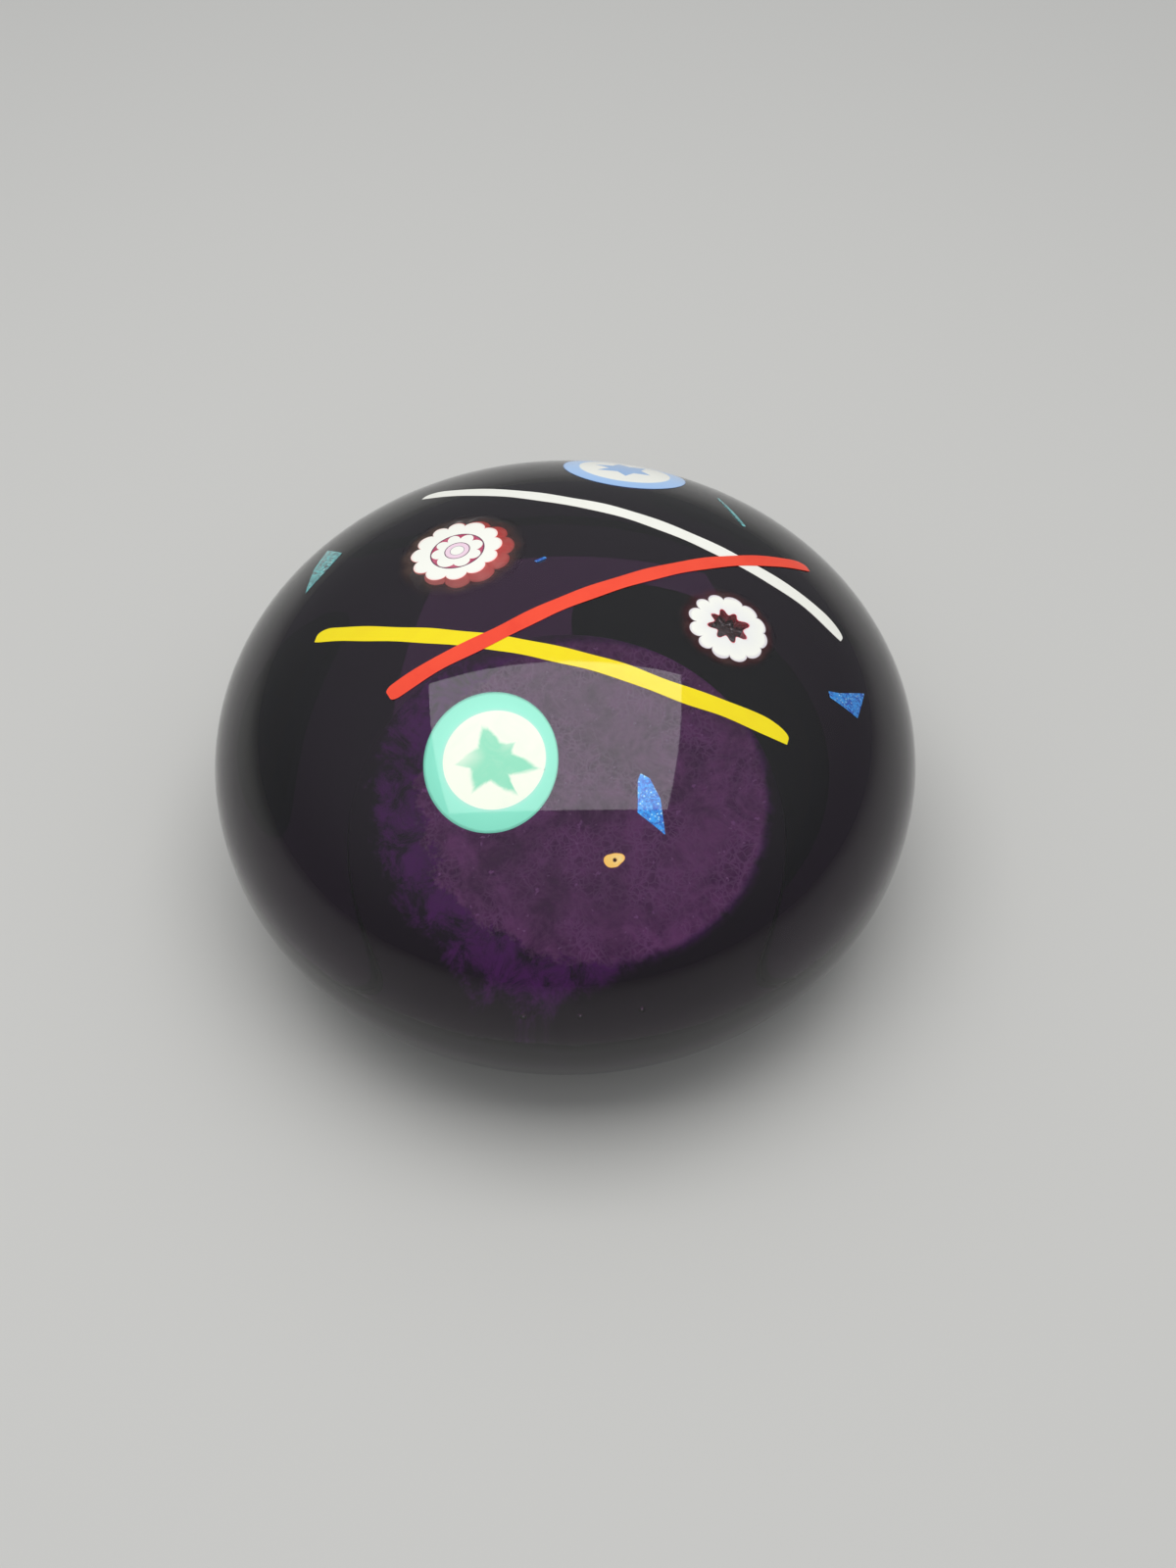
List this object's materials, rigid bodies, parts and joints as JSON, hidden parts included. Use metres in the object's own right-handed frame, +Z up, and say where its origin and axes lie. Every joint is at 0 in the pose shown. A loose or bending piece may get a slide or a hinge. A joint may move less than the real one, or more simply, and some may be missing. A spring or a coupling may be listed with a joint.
{
  "type": "glass paperweight",
  "caption": "Round flattened dome of dark purple glass on a flat ground base, with patterned cane slices, thin glass rods and metallic chips set flush in its top.",
  "frame": {"origin": "middle of the flat base, on the surface that it stands on", "axes": "+Z up through the middle of the dome; -Y is the front, where the large teal star slice is; +X is to the right seen from the front"},
  "size_m": [0.08, 0.08, 0.044],
  "materials": {
    "purple_glass": "clear dark purple glass, fire-polished, base ground and polished",
    "teal_glass": "opaque teal glass, polished",
    "pale_teal_glass": "opaque soft teal glass, polished",
    "cream_glass": "opaque cream glass, polished",
    "white_glass": "opaque white glass, polished",
    "blue_glass": "opaque cornflower blue glass, polished",
    "pale_blue_glass": "opaque pale blue glass, polished",
    "red_glass": "opaque red glass, polished",
    "rose_glass": "dark rose glass, polished",
    "pink_glass": "opaque pale pink glass, polished",
    "smoky_clear_glass": "dark brown transparent glass, polished",
    "dark_red_clear_glass": "dark red transparent glass, polished",
    "scarlet_glass": "opaque scarlet glass rod, polished",
    "yellow_glass": "opaque yellow glass rod, polished",
    "ivory_glass": "opaque ivory glass rod, polished",
    "blue_dichroic_glass": "metallic crinkled dichroic glass, blue",
    "teal_dichroic_glass": "metallic crinkled dichroic glass, teal",
    "orange_glass": "opaque orange glass frit, polished"
  },
  "bodies": {
    "root": {"glass_body": "purple_glass", "teal_star_coat": "teal_glass", "teal_star_field": "cream_glass", "teal_star_core": "pale_teal_glass", "blue_star_coat": "blue_glass", "blue_star_field": "white_glass", "blue_star_core": "pale_blue_glass", "flower_clear_coat": "smoky_clear_glass", "flower_red_coat": "red_glass", "flower_petals": "white_glass", "flower_rose_field": "rose_glass", "flower_inner_petals": "white_glass", "flower_pink_ring": "pink_glass", "flower_eye": "white_glass", "daisy_clear_coat": "dark_red_clear_glass", "daisy_petals": "white_glass", "daisy_core": "dark_red_clear_glass", "white_stringer": "ivory_glass", "red_stringer": "scarlet_glass", "yellow_stringer": "yellow_glass", "dichroic_chip_front": "blue_dichroic_glass", "dichroic_chip_right": "blue_dichroic_glass", "dichroic_chip_left": "teal_dichroic_glass", "dichroic_sliver_back": "teal_dichroic_glass", "dichroic_fleck_top": "blue_dichroic_glass", "orange_frit": "orange_glass"}
  },
  "joints": []
}
